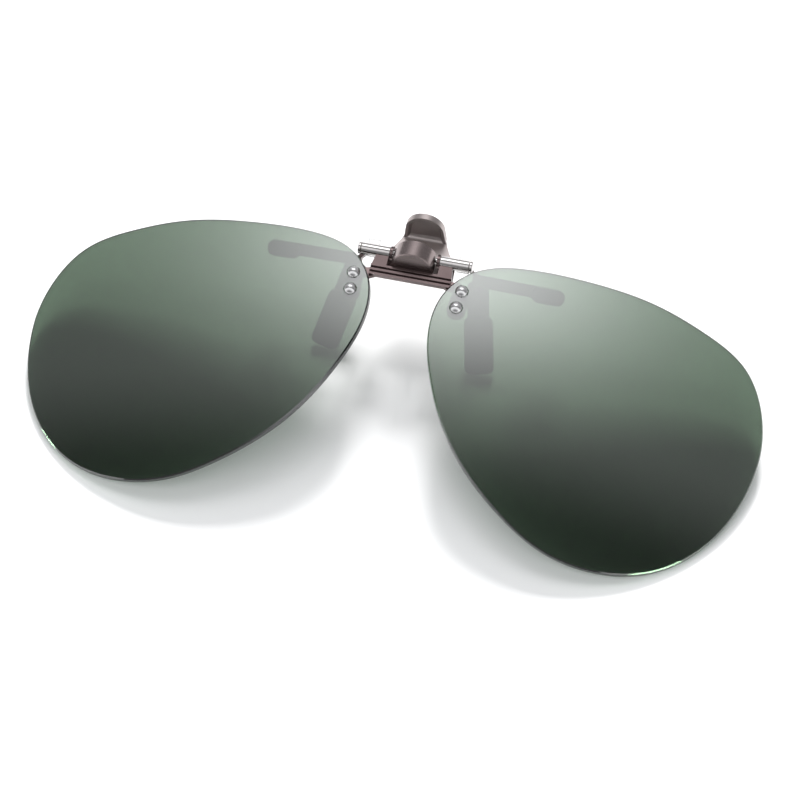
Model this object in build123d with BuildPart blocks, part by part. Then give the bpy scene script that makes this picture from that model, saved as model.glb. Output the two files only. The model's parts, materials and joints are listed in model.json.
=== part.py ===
from build123d import *
from math import cos, radians, sin
import os

# Flip-up clip-on sunglasses: two rimless aviator lenses on a bar that flips about a pin, held by a sprung
# pinch clamp.
#
# Millimetres, +Z up, +X across the face. The sunglasses lie face up on a flat surface, on the two lens
# bottoms and the two rear pads, and the surface is Z = 0. Shapes are drawn in two tilted frames that share
# the X axis:
#   face   x across, y up the face, z out of the front of the lenses
#   clamp  the same, turned back about the hinge pin by clamp_tilt

os.makedirs("parts", exist_ok=True)

# ---- resting place ---------------------------------------------------------------------------------------
rest_tilt = 10.41  # slope of the lenses where they lie on the lens bottoms and the rear pads
face_origin_y = -2.81  # puts the middle of the whole part at Y = 0
face_origin_z = 16.835  # puts the lens bottoms and the rear pads at Z = 0

# ---- hinge line, in the face frame -----------------------------------------------------------------------
hinge_y, hinge_z = 22.5, -5.8
clamp_tilt = 22.0
pin_d = 1.10
running_gap = 0.03  # radial clearance of everything that turns on the pin
barrel_d = 2.15
barrel_in, barrel_out = 4.62, 9.80  # |x| of the ends of a barrel

# ---- lenses ----------------------------------------------------------------------------------------------
wrap = 10.0  # each lens turns back from the bridge by this angle
lens_centre_x = 37.5  # along the wrapped plane, from the bridge
lens_radius = 220.0
lens_thick = 1.2
lens_edge_bevel = 0.2
lens_outline = [  # aviator outline about the lens centre, x away from the nose
    (29.6, 0.0), (28.3, 8.7), (23.9, 16.0), (15.6, 20.5), (6.2, 23.3), (-6.5, 24.4), (-17.0, 24.0),
    (-25.2, 21.6), (-30.0, 16.2), (-31.2, 8.4), (-29.1, 0.0), (-22.1, -12.8), (-12.5, -21.6), (-3.6, -26.4),
    (4.9, -27.7), (14.7, -25.5), (22.3, -19.6), (27.5, -10.6),
]

# ---- rivets through lens, washer and lug -----------------------------------------------------------------
rivet_centre = (-27.6, 15.25)  # between the two rivets, in the lens outline's frame
rivet_pitch = 3.4
rivet_lean = 5.0  # the lower rivet stands a little nearer the nose
rivet_head_d, rivet_head_h = 2.4, 0.9
rivet_shank_d = 1.2
lens_hole_d = 1.4
washer_d, washer_thick = 2.7, 0.3
washer_seat = 0.03  # the lens back is hollow, so a washer's rim stands this far off
lug_r, lug_thick = 1.6, 0.8
collar_d, collar_thick = 2.1, 0.5

# ---- bar that joins the lenses ---------------------------------------------------------------------------
bar_half = 7.3
bar_bottom, bar_top = 17.5, 19.6
bar_front, bar_back = -5.0, -6.1
groove_depth = 0.3
plate_in, plate_out = 4.62, 6.75
plate_thick, plate_lap = 0.8, 0.2  # the plates up to the barrels, and how far they run into the bar and barrels

# ---- half-round finger hood ------------------------------------------------------------------------------
hood_r = 3.85
hood_wall = 0.6
hood_height = 3.6
hood_lean = 15.0  # the hood's top leans back by this angle
hood_edge = 0.18
hood_pin_room = 1.5  # radius about the pin that the hood's open back leaves clear

# ---- clamp, front half -----------------------------------------------------------------------------------
sheet = 0.6
front_sheet_t = -3.6  # front face of the front sheet, in the clamp frame
front_low, front_high = -3.8, 0.9
window_half = 3.75
ear_in, ear_out = 4.0, 4.5
ear_r = 1.25
ear_web = 0.1  # an ear's web reaches this far above the pin, so that it clears the flipped hood
arm_low, arm_high = -3.35, -1.2
arm_start, arm_end = 10.4, 26.4
arm_drop = 0.2  # an arm sinks this much from root to tip
pad_start, pad_end = 21.0, 26.9
pad_width, pad_drop, pad_thick = 2.9, 0.35, 1.3
shoe_in, shoe_out, shoe_top = 7.25, 9.35, 2.2
stop_in, stop_out, stop_reach = 5.0, 6.4, 4.3  # the bar's back lands on the stop lips when the lenses close

# ---- necks of both sheets, which pass behind the barrels -------------------------------------------------
neck_in, neck_out = 6.7, 9.3
neck_low, neck_high = -0.6, 0.4
root_in, root_out = 10.2, 12.6  # the sheets reach down to the arms and legs between these

# ---- clamp, rear half ------------------------------------------------------------------------------------
rear_sheet_t = -4.7  # front face of the rear sheet
lever_ear_in, lever_ear_out = 1.9, 2.4
lever_bend = (4.2, -6.8)  # front of the bend from the lever's plate to its tongue, in the hinge's section
lever_bend_r = 1.0
plate_bend_s = 0.6  # the plate bends back at this height, level with the top of the wings
lever_edge = [  # (half width, height) of the plate, from its foot to just past the bend
    (6.3, -3.5), (6.1, 0.6), (5.8, 0.8), (4.9, 2.0), (4.2, 3.2), (3.8, 4.2), (3.6, 5.2),
]
tongue_slope = 55.0  # the tongue leans forward from the clamp plane by this angle
tongue_edge = [(3.8, 0.0), (3.6, 1.85), (3.4, 3.3)]  # (half width, distance along the tongue) from the bend
tongue_top = 5.9
dish_depth, dish_draft = 0.6, 40.0  # hollow in the tongue's front, and the slope of its sides
dish_inset = 1.0  # the hollow's floor lies this far inside the tongue's outline
tongue_lap = 1.6  # the bent plate runs this far behind the tongue
wing_low = -3.5
leg_start, leg_end = 2.4, 17.6  # distances below the hinge along a leg
leg_half = 1.9
leg_x = 10.5
leg_splay = 11.5
leg_pad_start, leg_pad_end = 8.4, 18.74
leg_pad_half, leg_pad_thick = 2.55, 1.4

# ---- clamp spring ----------------------------------------------------------------------------------------
spring_wire = 0.4
spring_mean_r = 1.05
spring_pitch = 0.52
spring_turns = 4.416
lever_leg, sheet_leg = 4.45, 4.3


def tilted(origin, angle):
    """A plane that shares the X axis, with its normal leaned towards -Y by the angle."""
    return Plane(origin=origin, x_dir=(1, 0, 0), z_dir=(0, -sin(radians(angle)), cos(radians(angle))))


face = tilted((0, face_origin_y, face_origin_z), rest_tilt)
hinge_point = face.from_local_coords((0, hinge_y, hinge_z))
clamp = tilted(hinge_point, rest_tilt + clamp_tilt)


def across(plane, x):
    """The plane's section at x: its sketch x runs up the plane and its sketch y runs out of it."""
    return Plane(origin=plane.from_local_coords((x, 0, 0)), x_dir=plane.y_dir, z_dir=(1, 0, 0))


def save(part, name):
    part.label = name
    export_step(part, f"parts/{name}.step")


def save_pair(part, name):
    """Writes the right-hand part (+X) and its mirror image."""
    save(part, name + "_right")
    with BuildPart() as other:
        mirror(part, about=Plane.YZ)
    save(other.part, name + "_left")


# ---- lens frames -----------------------------------------------------------------------------------------
turn = radians(wrap)
lens_x_dir = face.x_dir * cos(turn) - face.z_dir * sin(turn)
lens_normal = face.x_dir * sin(turn) + face.z_dir * cos(turn)
lens_centre = face.from_local_coords((lens_centre_x * cos(turn), 0, -lens_centre_x * sin(turn)))
lens_plane = Plane(origin=lens_centre, x_dir=lens_x_dir, z_dir=lens_normal)
ball_centre = lens_plane.from_local_coords((0, 0, -lens_radius))
rivet_axis = (lens_plane.from_local_coords((*rivet_centre, 0)) - ball_centre).normalized()
rivet_plane = Plane(
    origin=ball_centre + rivet_axis * lens_radius,
    x_dir=lens_x_dir - rivet_axis * lens_x_dir.dot(rivet_axis),
    z_dir=rivet_axis,
)
lean = radians(rivet_lean)
rivet_spots = [
    (end * rivet_pitch / 2 * sin(lean), end * rivet_pitch / 2 * cos(lean)) for end in (1, -1)
]

# ---- lenses ----------------------------------------------------------------------------------------------
with BuildPart() as lens:
    with BuildSketch(lens_plane.offset(-8)):
        with BuildLine():
            Spline(*lens_outline, periodic=True)
        make_face()
    extrude(amount=10)
    with Locations(ball_centre):
        Sphere(lens_radius, mode=Mode.INTERSECT)
        Sphere(lens_radius - lens_thick, mode=Mode.SUBTRACT)
    chamfer(lens.edges().sort_by(SortBy.LENGTH)[-2:], lens_edge_bevel)
    with BuildSketch(rivet_plane.offset(-lens_thick - 1)):
        with Locations(*rivet_spots):
            Circle(lens_hole_d / 2)
    extrude(amount=lens_thick + 2, mode=Mode.SUBTRACT)
save_pair(lens.part, "lens")

# ---- rivets: domed head in front, shank through, collar behind the lug -----------------------------------
tail = lens_thick + washer_thick + lug_thick + collar_thick
dome_r = (rivet_head_d**2 / 4 + rivet_head_h**2) / (2 * rivet_head_h)
with BuildPart() as rivets:
    with BuildSketch(rivet_plane):
        with Locations(*rivet_spots):
            Circle(rivet_head_d / 2)
    extrude(amount=rivet_head_h)
    with Locations(*[rivet_plane.from_local_coords((*spot, rivet_head_h - dome_r)) for spot in rivet_spots]):
        Sphere(dome_r, mode=Mode.INTERSECT)
    with BuildSketch(rivet_plane.offset(-tail)):
        with Locations(*rivet_spots):
            Circle(rivet_shank_d / 2)
    extrude(amount=tail)
save_pair(rivets.part, "lens_rivets")


def rings(front, thick, diameter):
    """Two rings round the rivet shanks, from the given depth behind the lens front."""
    with BuildPart() as pair:
        with BuildSketch(rivet_plane.offset(-front - thick)):
            with Locations(*rivet_spots):
                Circle(diameter / 2)
                Circle(rivet_shank_d / 2, mode=Mode.SUBTRACT)
        extrude(amount=thick)
    return pair.part


save_pair(rings(lens_thick + washer_seat, washer_thick - washer_seat, washer_d), "lens_washers")
save_pair(rings(lens_thick + washer_thick + lug_thick, collar_thick, collar_d), "rivet_collars")

# ---- bar, with a plate up to each barrel and a lug behind each lens --------------------------------------
with BuildPart() as bar:
    with BuildSketch(across(face, -bar_half)):
        with BuildLine():
            step = (bar_top - bar_bottom) / 5
            Polyline(
                (bar_bottom, bar_back),
                (bar_bottom, bar_front),
                (bar_bottom + step, bar_front),
                (bar_bottom + 1.5 * step, bar_front - groove_depth),
                (bar_bottom + 2 * step, bar_front),
                (bar_bottom + 3 * step, bar_front),
                (bar_bottom + 3.5 * step, bar_front - groove_depth),
                (bar_bottom + 4 * step, bar_front),
                (bar_top, bar_front),
                (bar_top, bar_back),
                close=True,
            )
        make_face()
    extrude(amount=2 * bar_half)
    for side in (1, -1):
        with BuildSketch(face.offset(bar_back)):
            Polygon(
                (side * plate_in, bar_top - plate_lap),
                (side * bar_half, bar_top - plate_lap),
                (side * plate_out, hinge_y - plate_lap),
                (side * plate_in, hinge_y - plate_lap),
                align=None,
            )
        extrude(amount=plate_thick)
        with BuildSketch(across(face, 0)):
            with Locations((hinge_y, hinge_z)):
                Circle(barrel_d / 2)
        extrude(amount=side * (bar_half + 1), mode=Mode.SUBTRACT)
with BuildPart() as lug:
    with BuildSketch(rivet_plane.offset(-lens_thick - washer_thick - lug_thick)):
        with Locations(*rivet_spots):
            Circle(lug_r)
        Polygon(
            (rivet_spots[0][0] + lug_r, rivet_spots[0][1]),
            (rivet_spots[1][0] + lug_r, rivet_spots[1][1]),
            (rivet_spots[1][0] - lug_r, rivet_spots[1][1]),
            (rivet_spots[0][0] - lug_r, rivet_spots[0][1]),
            (-3.6, 2.8),
            (-3.6, 4.3),
            (rivet_spots[0][0] - lug_r, 3.9),
            (rivet_spots[0][0], rivet_spots[0][1] + lug_r),
            align=None,
        )
        with Locations(*rivet_spots):
            Circle(rivet_shank_d / 2, mode=Mode.SUBTRACT)
    extrude(amount=lug_thick)
with BuildPart() as lens_bar:
    add(bar.part)
    add(lug.part)
    mirror(lug.part, about=Plane.YZ)
save(lens_bar.part, "lens_bar")

# ---- hinge barrels ---------------------------------------------------------------------------------------
with BuildPart() as barrel:
    with BuildSketch(Plane(origin=hinge_point + Vector(barrel_in, 0, 0), x_dir=face.y_dir, z_dir=(1, 0, 0))):
        Circle(barrel_d / 2)
        Circle(pin_d / 2 + running_gap, mode=Mode.SUBTRACT)
    extrude(amount=barrel_out - barrel_in)
    chamfer(barrel.edges().group_by(Axis.X)[-1].sort_by(SortBy.LENGTH)[-1], 0.12)
save_pair(barrel.part, "barrel")

# ---- finger hood: half-round wall with a closed floor, open at the back and top --------------------------
hood_floor = Plane(
    origin=face.from_local_coords((0, bar_top, bar_front)),
    x_dir=(1, 0, 0),
    z_dir=face.y_dir * cos(radians(hood_lean)) - face.z_dir * sin(radians(hood_lean)),
)
with BuildPart() as hood:
    with BuildSketch(hood_floor):
        Circle(hood_r)
        Rectangle(2 * hood_r, 2 * hood_r, align=(Align.CENTER, Align.MIN), mode=Mode.SUBTRACT)
    extrude(amount=hood_height)
    chamfer(hood.edges().filter_by(GeomType.CIRCLE), hood_edge)
    with BuildSketch(hood_floor.offset(hood_wall)):
        Circle(hood_r - hood_wall)
    extrude(amount=hood_height, mode=Mode.SUBTRACT)
    with BuildSketch(across(face, -hood_r)):
        with Locations((hinge_y, hinge_z)):
            Circle(hood_pin_room)
    extrude(amount=2 * hood_r, mode=Mode.SUBTRACT)
save(hood.part, "finger_hood")

# ---- hinge pin and its end caps --------------------------------------------------------------------------
pin_end = barrel_out + 0.25
with BuildPart() as pin:
    with BuildSketch(across(clamp, -pin_end)):
        Circle(pin_d / 2)
    extrude(amount=2 * pin_end)
save(pin.part, "hinge_pin")
with BuildPart() as cap:
    with BuildSketch(across(clamp, barrel_out + 0.08)):
        Circle(barrel_d / 2)
    extrude(amount=0.45)
    with BuildSketch(across(clamp, 0)):
        Circle(pin_d / 2)
    extrude(amount=pin_end, mode=Mode.SUBTRACT)
    fillet(cap.edges().group_by(Axis.X)[-1], 0.2)
save_pair(cap.part, "pin_cap")


def ears(plane, near, far, sheet_front):
    """Two ears on the pin, reaching back to a sheet whose front face is at sheet_front."""
    with BuildPart() as pair:
        for side in (1, -1):
            start = near if side > 0 else -far
            with BuildSketch(across(plane, start)):
                Circle(ear_r)
                with Locations((-ear_r, sheet_front / 2)):
                    Rectangle(ear_r + ear_web, -sheet_front, align=(Align.MIN, Align.CENTER))
                Circle(pin_d / 2 + running_gap, mode=Mode.SUBTRACT)
            extrude(amount=far - near)
    return pair.part


def neck_sketch(plane, start, low):
    """Sketch of both necks, each with a root that widens down to the given height."""
    with BuildSketch(plane) as necks:
        for side in (1, -1):
            Polygon(
                (side * start, neck_low),
                (side * neck_out, neck_low),
                (side * root_in, arm_high - 0.3),
                (side * root_in, low),
                (side * root_out, low),
                (side * root_out, arm_high),
                (side * (root_in + 0.7), arm_high),
                (side * neck_out, neck_high),
                (side * start, neck_high),
                align=None,
            )
    return necks.sketch


# ---- front sheet: ears on the pin, window for the lever's ears, stop lips for the lens bar ---------------
front_back_t = front_sheet_t - sheet
with BuildPart() as front_sheet:
    with BuildSketch(clamp.offset(front_back_t)):
        with Locations((0, (front_low + front_high) / 2)):
            Rectangle(2 * neck_in, front_high - front_low)
        with Locations((0, front_low + 1.2)):
            Rectangle(2 * window_half, 8, align=(Align.CENTER, Align.MIN), mode=Mode.SUBTRACT)
    extrude(amount=sheet)
    extrude(neck_sketch(clamp.offset(front_back_t), neck_in - 0.5, arm_low), amount=sheet)
    add(ears(clamp, ear_in, ear_out, front_sheet_t))
    for side in (1, -1):
        with BuildSketch(clamp.offset(front_sheet_t)):
            with Locations((side * (stop_in + stop_out) / 2, front_low + sheet / 2)):
                Rectangle(stop_out - stop_in, sheet)
        extrude(amount=stop_reach)
save(front_sheet.part, "front_sheet")

# ---- front arms, lapped on the sheet, and their pads -----------------------------------------------------
arm_length = arm_end - arm_start
arm_plane = Plane(
    origin=clamp.from_local_coords((arm_start, (arm_low + arm_high) / 2, front_sheet_t)),
    x_dir=clamp.x_dir * arm_length - clamp.y_dir * arm_drop,
    z_dir=clamp.z_dir,
)
with BuildPart() as arm:
    with BuildSketch(arm_plane):
        with Locations((arm_length / 2, 0)):
            RectangleRounded(arm_length, arm_high - arm_low, 0.7)
    extrude(amount=sheet)
save_pair(arm.part, "front_arm")

with BuildPart() as front_pad:
    with BuildSketch(arm_plane.offset((sheet - pad_thick) / 2)):
        with Locations(((pad_start + pad_end) / 2 - arm_start, -pad_drop)):
            RectangleRounded(pad_end - pad_start, pad_width, pad_width / 2 - 0.1)
    extrude(amount=pad_thick)
    fillet(front_pad.edges().filter_by(arm_plane), 0.3)
    add(arm.part, mode=Mode.SUBTRACT)
save_pair(front_pad.part, "front_pad")

# ---- friction shoes, which stand behind the barrels and hold the lenses at any flip angle ----------------
with BuildPart() as shoe:
    with BuildSketch(across(clamp, shoe_in)):
        with BuildLine():
            Polyline(
                (-1.1, front_sheet_t),
                (shoe_top, front_sheet_t),
                (shoe_top, front_sheet_t + 0.7),
                (0.8, front_sheet_t + 0.8),
                (0.8, -0.7),
                (-0.8, -0.7),
                (-1.1, front_sheet_t + 0.8),
                close=True,
            )
        make_face()
        Circle(barrel_d / 2 + running_gap, mode=Mode.SUBTRACT)
    extrude(amount=shoe_out - shoe_in)
save_pair(shoe.part, "friction_shoe")

# ---- thumb lever: dished tongue on a bent plate, ears on the pin, necks out to the legs ------------------
rear_back_t = rear_sheet_t - sheet
lever_widest = lever_edge[0][0]
tongue_plane = Plane(
    origin=clamp.from_local_coords((0, *lever_bend)),
    x_dir=(1, 0, 0),
    z_dir=clamp.z_dir * cos(radians(tongue_slope)) - clamp.y_dir * sin(radians(tongue_slope)),
)


def tongue_outline(plane, inset):
    """The tongue's outline, drawn smaller by the inset."""
    with BuildSketch(plane) as outline:
        with BuildLine():
            half, height = tongue_edge[-1]
            ThreePointArc((inset - half, height), (0, tongue_top - inset), (half - inset, height))
            Polyline(*[(half - inset, height) for half, height in reversed(tongue_edge)])
            Line((tongue_edge[0][0] - inset, 0), (inset - tongue_edge[0][0], 0))
            Polyline(*[(inset - half, height) for half, height in tongue_edge])
        make_face()
    return outline.sketch


with BuildPart() as tongue:
    extrude(tongue_outline(tongue_plane.offset(-sheet), 0), amount=sheet + dish_depth)
    dish_floor = tongue_outline(tongue_plane, dish_inset)
    extrude(dish_floor, amount=dish_depth, taper=-dish_draft, mode=Mode.SUBTRACT)

lap_end = (
    lever_bend[0] + tongue_lap * cos(radians(tongue_slope)),
    lever_bend[1] + tongue_lap * sin(radians(tongue_slope)),
)
with BuildPart() as thumb_lever:
    with BuildSketch(across(clamp, -lever_widest)):
        with BuildLine():
            foot, knee = (wing_low, rear_sheet_t), (plate_bend_s, rear_sheet_t)
            front_line = FilletPolyline(foot, knee, lever_bend, lap_end, radius=lever_bend_r)
            offset(front_line, amount=sheet, side=Side.RIGHT)
        make_face()
    extrude(amount=2 * lever_widest)
    with BuildSketch(clamp.offset(rear_back_t - 4)):
        Polygon(*lever_edge, *[(-half, height) for half, height in reversed(lever_edge)], align=None)
    extrude(amount=8, mode=Mode.INTERSECT)
    add(tongue.part)
    extrude(neck_sketch(clamp.offset(rear_back_t), neck_in - 1.0, wing_low), amount=sheet)
    add(ears(clamp, lever_ear_in, lever_ear_out, rear_sheet_t))
save(thumb_lever.part, "thumb_lever")

# ---- rear legs, lapped behind the wings, and their pads --------------------------------------------------
leg_plane = Plane(
    origin=clamp.from_local_coords((leg_x, 0, rear_back_t)),
    x_dir=clamp.x_dir * cos(radians(leg_splay)) + clamp.y_dir * sin(radians(leg_splay)),
    z_dir=clamp.z_dir,
)
with BuildPart() as leg:
    with BuildSketch(leg_plane.offset(-sheet)):
        with Locations((0, -(leg_start + leg_end) / 2)):
            RectangleRounded(2 * leg_half, leg_end - leg_start, 0.8)
    extrude(amount=sheet)
save_pair(leg.part, "rear_leg")

with BuildPart() as rear_pad:
    with BuildSketch(leg_plane.offset(-(sheet + leg_pad_thick) / 2)):
        with Locations((0, -(leg_pad_start + leg_pad_end) / 2)):
            RectangleRounded(2 * leg_pad_half, leg_pad_end - leg_pad_start, 1.3)
    extrude(amount=leg_pad_thick)
    fillet(rear_pad.edges().filter_by(leg_plane), 0.3)
    add(leg.part, mode=Mode.SUBTRACT)
save_pair(rear_pad.part, "rear_pad")

# ---- clamp spring: a coil round the pin, drawn in the clamp frame about the hinge line -------------------
# One leg pushes back the lever above the pin, and the other pushes back the front sheet's lower edge.
coil_length = spring_turns * spring_pitch
with BuildPart() as spring_in_clamp:
    with BuildLine() as wire:
        start = (-coil_length / 2, 0, 0)
        coil = Helix(spring_pitch, coil_length, spring_mean_r, center=start, direction=(1, 0, 0))
        Line(coil @ 0, coil @ 0 - coil % 0 * lever_leg)
        Line(coil @ 1, coil @ 1 + coil % 1 * sheet_leg)
    with BuildSketch(Plane(origin=coil @ 0, z_dir=coil % 0)):
        Circle(spring_wire / 2)
    sweep(path=wire.wires()[0])
with BuildPart() as clamp_spring:
    add(spring_in_clamp.part.rotate(Axis.X, -90).moved(clamp.location))
save(clamp_spring.part, "clamp_spring")
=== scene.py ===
# Studio picture of flip-up clip-on sunglasses, lying face up on a white sweep.
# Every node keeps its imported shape, and gets a procedural material here. Metres, +Z up.

import json
import math

import bpy
from mathutils import Matrix, Vector

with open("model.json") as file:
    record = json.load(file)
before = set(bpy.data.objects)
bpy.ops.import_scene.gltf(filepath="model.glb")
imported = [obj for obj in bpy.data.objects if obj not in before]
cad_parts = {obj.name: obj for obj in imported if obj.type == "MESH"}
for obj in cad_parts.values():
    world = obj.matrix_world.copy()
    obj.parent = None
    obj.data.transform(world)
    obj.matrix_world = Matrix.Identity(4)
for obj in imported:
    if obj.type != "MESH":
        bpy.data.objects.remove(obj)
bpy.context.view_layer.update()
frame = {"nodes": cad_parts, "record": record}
scene = bpy.context.scene
scene.view_settings.view_transform = "Standard"

# ---- camera and studio, driving values -------------------------------------------------------------------
aim = Vector((0.00362, -0.00636, 0.010))
camera_distance = 0.5173
camera_azimuth, camera_elevation, camera_roll = 16.30, 55.50, -2.94
camera_lens, camera_sensor = 135.0, 36.0

floor_half = 1.5
floor_drop = 0.00002  # the floor lies this far below the part, so that the two don't meet

key_azimuth, key_elevation, key_distance = -7, 33, 1.2
key_size, key_power = 0.3, 22.0

studio_colour = (0.98, 0.98, 1.0, 1)
studio_dim = 0.09  # everywhere
studio_glow = 4.2  # soft glow high at the back
glow_x, glow_y, glow_wide, glow_high = -0.11, 0.47, 0.22, 0.14
studio_ramps = (  # (direction y where it starts, where it is full, strength)
    (-0.02, 0.2, 0.33),  # lighter towards the back
    (-0.06, -0.3, 1.25),  # lighter in front
    (-0.5, -0.88, -1.05),  # and dark again low down in front
)


# ---- node helpers ----------------------------------------------------------------------------------------
def material(name):
    """A new material: the material, its node tree and its Principled shader."""
    made = bpy.data.materials.new(name)
    made.use_nodes = True
    return made, made.node_tree, made.node_tree.nodes["Principled BSDF"]


def node(tree, kind, **settings):
    """A shader node; a setting that names an input sets that input's value."""
    made = tree.nodes.new(kind)
    for key, value in settings.items():
        if key in made.inputs:
            made.inputs[key].default_value = value
        else:
            setattr(made, key, value)
    return made


def noise(tree, vector, scale, detail, roughness):
    """A noise texture's value output."""
    made = node(tree, "ShaderNodeTexNoise", Scale=scale, Detail=detail, Roughness=roughness)
    tree.links.new(vector, made.inputs["Vector"])
    return made.outputs["Fac"]


def object_place(tree):
    return node(tree, "ShaderNodeTexCoord").outputs["Object"]


def vary_colour(tree, shader, value, low, high):
    """Base colour between two shades, driven by a value."""
    ramp = node(tree, "ShaderNodeValToRGB")
    ramp.color_ramp.elements[0].color = (*low, 1)
    ramp.color_ramp.elements[1].color = (*high, 1)
    tree.links.new(value, ramp.inputs["Fac"])
    tree.links.new(ramp.outputs["Color"], shader.inputs["Base Color"])


def vary_roughness(tree, shader, value, low, high, start=0.0, full=1.0):
    """Roughness between two levels, driven by a value from start to full."""
    spread = {"From Min": start, "From Max": full, "To Min": low, "To Max": high}
    level = node(tree, "ShaderNodeMapRange", **spread)
    tree.links.new(value, level.inputs["Value"])
    tree.links.new(level.outputs["Result"], shader.inputs["Roughness"])


def emboss(tree, shader, value, strength):
    """Fine relief, 20 micrometres deep at full strength."""
    relief = node(tree, "ShaderNodeBump", Strength=strength, Distance=0.00002)
    tree.links.new(value, relief.inputs["Height"])
    tree.links.new(relief.outputs["Normal"], shader.inputs["Normal"])


# ---- materials -------------------------------------------------------------------------------------------
def metal(name, colour, roughness, grain=(1, 1, 1), wear=0.15, bump=0.02):
    """Brushed or blasted metal: colour and roughness vary a little, with fine grain in the bump."""
    made, tree, shader = material(name)
    shader.inputs["Metallic"].default_value = 1.0
    place = object_place(tree)
    stretch = node(tree, "ShaderNodeMapping", Scale=grain)
    tree.links.new(place, stretch.inputs["Vector"])
    fine = noise(tree, stretch.outputs["Vector"], 9000.0, 6.0, 0.6)
    broad = noise(tree, place, 420.0, 3.0, 0.5)
    light = [min(1, c * (1 + wear)) for c in colour]
    vary_colour(tree, shader, broad, [c * (1 - wear) for c in colour], light)
    vary_roughness(tree, shader, fine, roughness * 0.8, roughness * 1.25)
    emboss(tree, shader, fine, bump)
    return made


def moulded(name, low, high, roughness, transmission=0.0):
    """Moulded soft plastic: a cloudy colour between two shades and a fine matt grain."""
    made, tree, shader = material(name)
    shader.inputs["Transmission Weight"].default_value = transmission
    shader.inputs["IOR"].default_value = 1.45
    place = object_place(tree)
    vary_colour(tree, shader, noise(tree, place, 500.0, 3.0, 0.5), low, high)
    grain = noise(tree, place, 6000.0, 4.0, 0.6)
    vary_roughness(tree, shader, grain, roughness * 0.85, roughness * 1.15)
    emboss(tree, shader, grain, 0.05)
    return made


def tinted_lens():
    """Coated green-grey lens with faint smears. Shadow rays pass straight through its tint to the floor."""
    made, tree, shader = material("lens_tint")
    shader.inputs["IOR"].default_value = 2.1
    shader.inputs["Transmission Weight"].default_value = 1.0
    place = object_place(tree)
    dye = noise(tree, place, 60.0, 2.0, 0.5)
    vary_colour(tree, shader, dye, (0.065, 0.110, 0.066), (0.071, 0.118, 0.073))
    smear = noise(tree, place, 140.0, 4.0, 0.6)
    vary_roughness(tree, shader, smear, 0.0, 0.04, start=0.45, full=0.8)
    pass_through = node(tree, "ShaderNodeBsdfTransparent", Color=(0.13, 0.16, 0.145, 1))
    either = node(tree, "ShaderNodeMixShader")
    tree.links.new(node(tree, "ShaderNodeLightPath").outputs["Is Shadow Ray"], either.inputs["Fac"])
    tree.links.new(shader.outputs["BSDF"], either.inputs[1])
    tree.links.new(pass_through.outputs["BSDF"], either.inputs[2])
    tree.links.new(either.outputs["Shader"], tree.nodes["Material Output"].inputs["Surface"])
    return made


def paint(obj, made):
    obj.data.materials.clear()
    obj.data.materials.append(made)


brushed = (0.15, 1, 1)  # grain drawn out along X, the way that the sheets and the bar are brushed
by_slot = {
    "lens_tint": tinted_lens(),
    "gunmetal": metal("gunmetal", (0.23, 0.19, 0.186), 0.24, grain=brushed, bump=0.008),
    "steel": metal("steel", (0.56, 0.54, 0.53), 0.17, grain=(0.1, 1, 1)),
    "polished_steel": metal("polished_steel", (0.66, 0.66, 0.66), 0.24),
    "spring_steel": metal("spring_steel", (0.5, 0.5, 0.5), 0.3),
    "silicone": moulded("silicone", (0.10, 0.10, 0.10), (0.14, 0.14, 0.14), 0.5),
    "clear_nylon": moulded("clear_nylon", (0.93, 0.93, 0.92), (0.97, 0.97, 0.97), 0.15, transmission=0.7),
}
# Painted shade: a darker copy of the hood's gunmetal for the bar and the front sheet, standing in for the
# dark overhead that their front faces reflect
gunmetal_painted_shade = metal("gunmetal_painted_shade", (0.145, 0.11, 0.108), 0.24, grain=brushed)
by_node = {
    "lens_bar": gunmetal_painted_shade,
    "front_sheet": gunmetal_painted_shade,
    # Rougher brushed gunmetal, and its lighter base colour is painted light, standing in for light that the
    # lever's dish doesn't catch from the studio
    "thumb_lever": metal("brushed_gunmetal_painted_light", (0.37, 0.33, 0.32), 0.40, grain=brushed),
}
for part in frame["record"]["subparts"]:
    name = part["node"]
    paint(frame["nodes"][name], by_node.get(name, by_slot[part["material_slot"]]))

# ---- camera ----------------------------------------------------------------------------------------------
az, el = math.radians(camera_azimuth), math.radians(camera_elevation)
back = Vector((math.sin(az) * math.cos(el), -math.cos(az) * math.cos(el), math.sin(el)))
roll = Matrix.Rotation(math.radians(camera_roll), 4, "Z")
camera = bpy.data.objects.new("camera", bpy.data.cameras.new("camera"))
camera.data.lens, camera.data.sensor_width = camera_lens, camera_sensor
camera.data.clip_start, camera.data.clip_end = 0.01, 10.0
camera.location = aim + back * camera_distance
camera.rotation_mode = "QUATERNION"
camera.rotation_quaternion = ((-back).to_track_quat("-Z", "Y").to_matrix().to_4x4() @ roll).to_quaternion()
scene.collection.objects.link(camera)
scene.camera = camera

# ---- floor -----------------------------------------------------------------------------------------------
corners = ((-1, -1), (1, -1), (1, 1), (-1, 1))
floor_mesh = bpy.data.meshes.new("floor")
floor_points = [(x * floor_half, y * floor_half, -floor_drop) for x, y in corners]
floor_mesh.from_pydata(floor_points, [], [(0, 1, 2, 3)])
floor = bpy.data.objects.new("floor", floor_mesh)
scene.collection.objects.link(floor)
white, tree, shader = material("white_sweep")
shader.inputs["Base Color"].default_value = (0.92, 0.92, 0.92, 1)
shader.inputs["Roughness"].default_value = 0.9
shader.inputs["Specular IOR Level"].default_value = 0.1
paint(floor, white)

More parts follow.
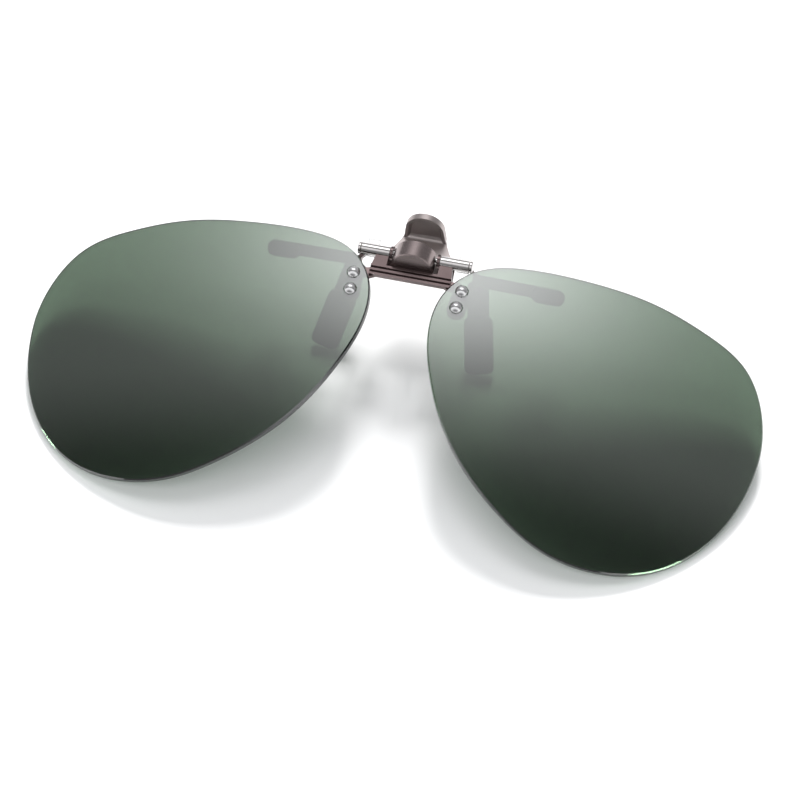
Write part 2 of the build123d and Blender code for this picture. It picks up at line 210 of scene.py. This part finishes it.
# ---- key light, on the compass side of its azimuth, aimed at the middle of the object --------------------
az, el = math.radians(key_azimuth), math.radians(key_elevation)
toward = Vector((math.sin(az) * math.cos(el), math.cos(az) * math.cos(el), math.sin(el)))
lamp = bpy.data.lights.new("key", "AREA")
lamp.shape = "RECTANGLE"
lamp.size, lamp.size_y, lamp.energy = key_size, key_size, key_power
key = bpy.data.objects.new("key", lamp)
key.location = toward * key_distance
key.rotation_mode = "QUATERNION"
key.rotation_quaternion = toward.to_track_quat("Z", "Y")
key.visible_glossy = False  # the metals and lenses reflect the studio below, not the lamp
scene.collection.objects.link(key)


# ---- studio round the object: dark overhead, lighter behind and in front, one soft glow ------------------
def sum_of(tree, kind, first, second):
    """A maths node on two sockets or numbers; its output socket."""
    made = tree.nodes.new("ShaderNodeMath")
    made.operation = kind
    for index, term in enumerate((first, second)):
        if isinstance(term, (int, float)):
            made.inputs[index].default_value = term
        else:
            tree.links.new(term, made.inputs[index])
    return made.outputs["Value"]


world = bpy.data.worlds.new("studio")
scene.world = world
world.use_nodes = True
tree = world.node_tree
split = node(tree, "ShaderNodeSeparateXYZ")
tree.links.new(node(tree, "ShaderNodeTexCoord").outputs["Generated"], split.inputs["Vector"])
across = sum_of(tree, "DIVIDE", sum_of(tree, "SUBTRACT", split.outputs["X"], glow_x), glow_wide)
along = sum_of(tree, "DIVIDE", sum_of(tree, "SUBTRACT", split.outputs["Y"], glow_y), glow_high)
squares = sum_of(tree, "MULTIPLY", across, across), sum_of(tree, "MULTIPLY", along, along)
reach = sum_of(tree, "ADD", *squares)
glow = sum_of(tree, "EXPONENT", sum_of(tree, "MULTIPLY", reach, -0.5), 0.0)
level = sum_of(tree, "ADD", sum_of(tree, "MULTIPLY", glow, studio_glow), studio_dim)
for start, full, strength in studio_ramps:
    ramp = node(tree, "ShaderNodeMapRange", **{"From Min": start, "From Max": full})
    ramp.interpolation_type = "SMOOTHSTEP"
    tree.links.new(split.outputs["Y"], ramp.inputs["Value"])
    level = sum_of(tree, "ADD", level, sum_of(tree, "MULTIPLY", ramp.outputs["Result"], strength))
tree.nodes["Background"].inputs["Color"].default_value = studio_colour
tree.links.new(level, tree.nodes["Background"].inputs["Strength"])

bpy.context.view_layer.update()
